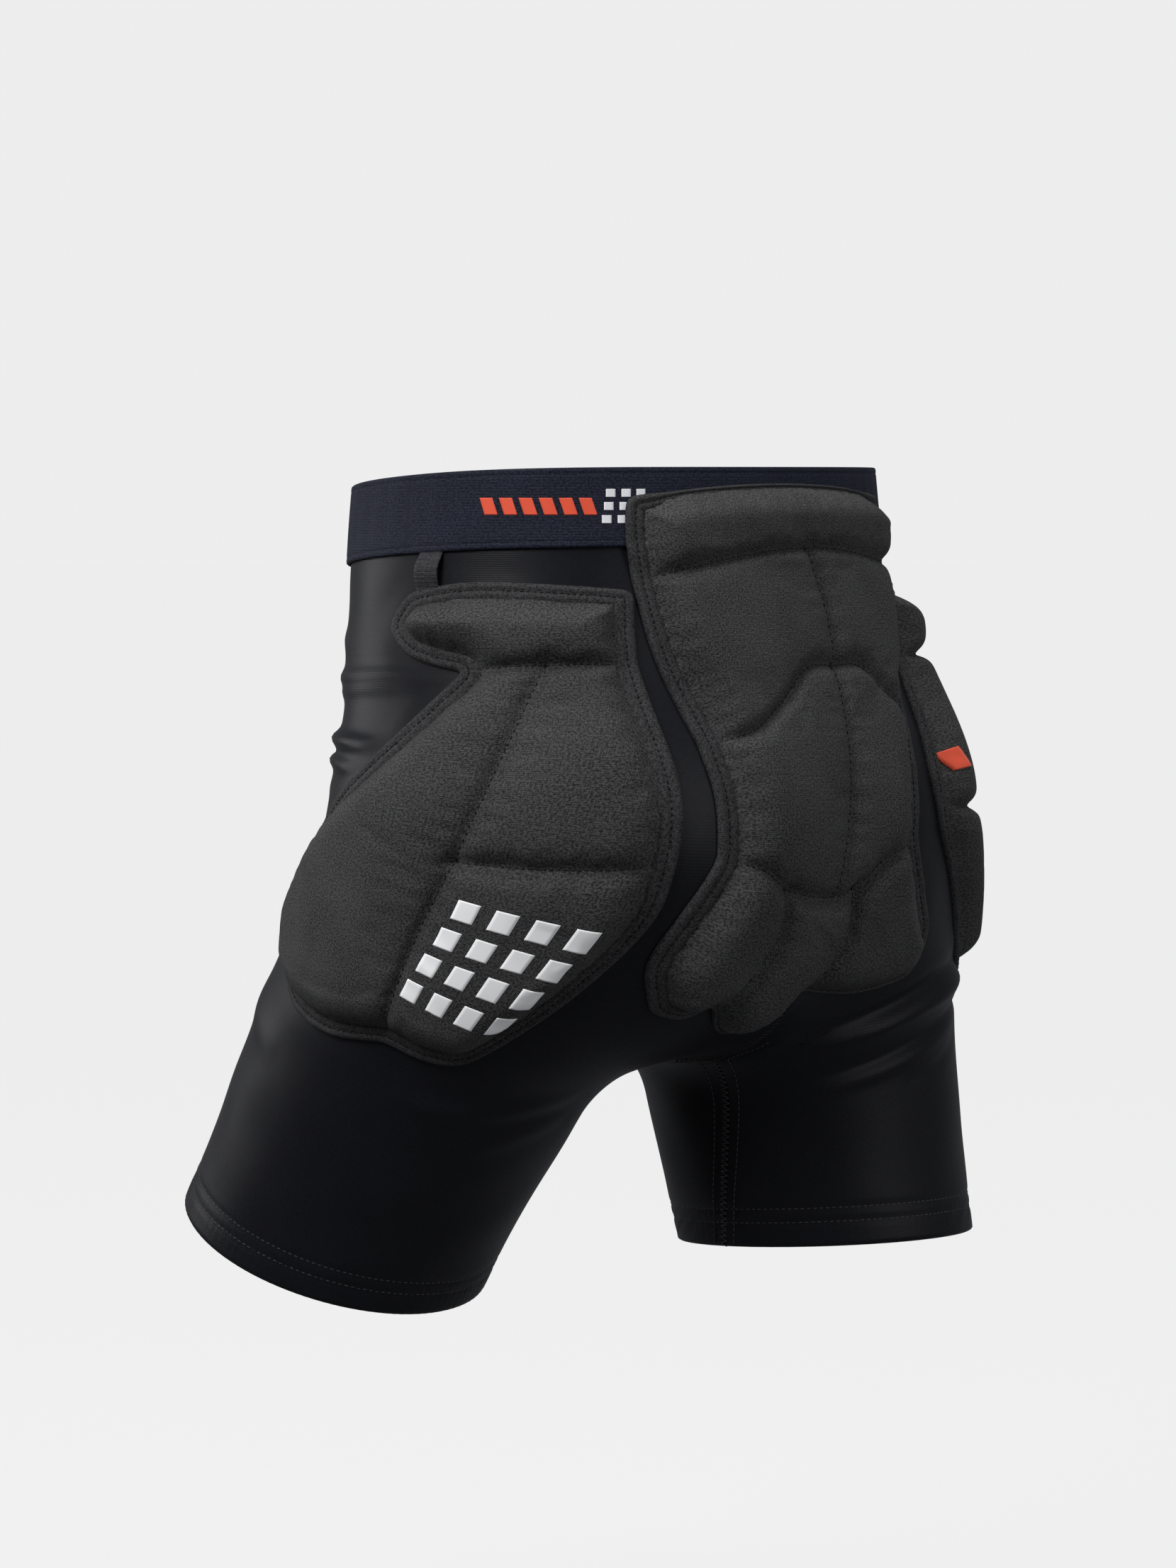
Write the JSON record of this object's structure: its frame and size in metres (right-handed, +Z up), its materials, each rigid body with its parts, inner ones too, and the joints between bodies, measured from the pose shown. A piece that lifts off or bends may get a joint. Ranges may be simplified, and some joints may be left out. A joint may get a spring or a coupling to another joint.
{
  "type": "padded impact shorts",
  "caption": "Close-fitting stretch shorts with quilted foam pads over both hips and the seat, a wide elastic waistband and hemmed legs, shaped as worn with the left leg forward.",
  "frame": {"origin": "centre of the waist opening, level with the top of the waistband at the back", "axes": "+Z up out of the waist opening, -Y to the wearer's front, +X to the wearer's left"},
  "size_m": [0.3976, 0.3315, 0.4343],
  "materials": {
    "stretch_fabric": "smooth black nylon and elastane knit, soft satin sheen",
    "waist_elastic": "navy-black speckled jacquard elastic",
    "pad_face": "matt black micro knit with a fine grey speckle",
    "foam": "closed-cell EVA foam, dark grey",
    "binding_tape": "black folded binding tape, double stitched",
    "webbing": "ribbed black grosgrain",
    "print_ink": "white plastisol print",
    "woven_label": "plain red woven tab"
  },
  "bodies": {
    "hips": {"waistband": "waist_elastic", "left_panel": "stretch_fabric", "left_hip_pad_foam_strip": "foam", "left_hip_pad_foam_front": "foam", "left_hip_pad_foam_rear_upper": "foam", "left_hip_pad_foam_rear_lower": "foam", "left_hip_pad_cover": "pad_face", "left_hip_pad_binding": "binding_tape", "left_hanger_loop": "webbing", "right_panel": "stretch_fabric", "right_hip_pad_foam_strip": "foam", "right_hip_pad_foam_front": "foam", "right_hip_pad_foam_rear_upper": "foam", "right_hip_pad_foam_rear_lower": "foam", "right_hip_pad_cover": "pad_face", "right_hip_pad_binding": "binding_tape", "right_hanger_loop": "webbing", "seat_pad_foam_top": "foam", "seat_pad_foam_upper_left": "foam", "seat_pad_foam_upper_right": "foam", "seat_pad_foam_middle_left": "foam", "seat_pad_foam_middle_right": "foam", "seat_pad_foam_lobe_left": "foam", "seat_pad_foam_lobe_right": "foam", "seat_pad_foam_tail": "foam", "seat_pad_cover": "pad_face", "seat_pad_binding": "binding_tape", "left_hip_print": "print_ink", "right_hip_label": "woven_label"},
    "left_leg": {"left_leg_sleeve": "stretch_fabric", "left_hem": "stretch_fabric"},
    "right_leg": {"right_leg_sleeve": "stretch_fabric", "right_hem": "stretch_fabric"}
  },
  "joints": [
    {"name": "left_hip_flex", "type": "hinge", "parent": "hips", "child": "left_leg", "pos_m": [0.088, 0.015, -0.19], "axis": [-1, 0, 0], "range_deg": [-42, 23]},
    {"name": "right_hip_flex", "type": "hinge", "parent": "hips", "child": "right_leg", "pos_m": [-0.088, 0.015, -0.19], "axis": [-1, 0, 0], "range_deg": [-6, 59]}
  ]
}
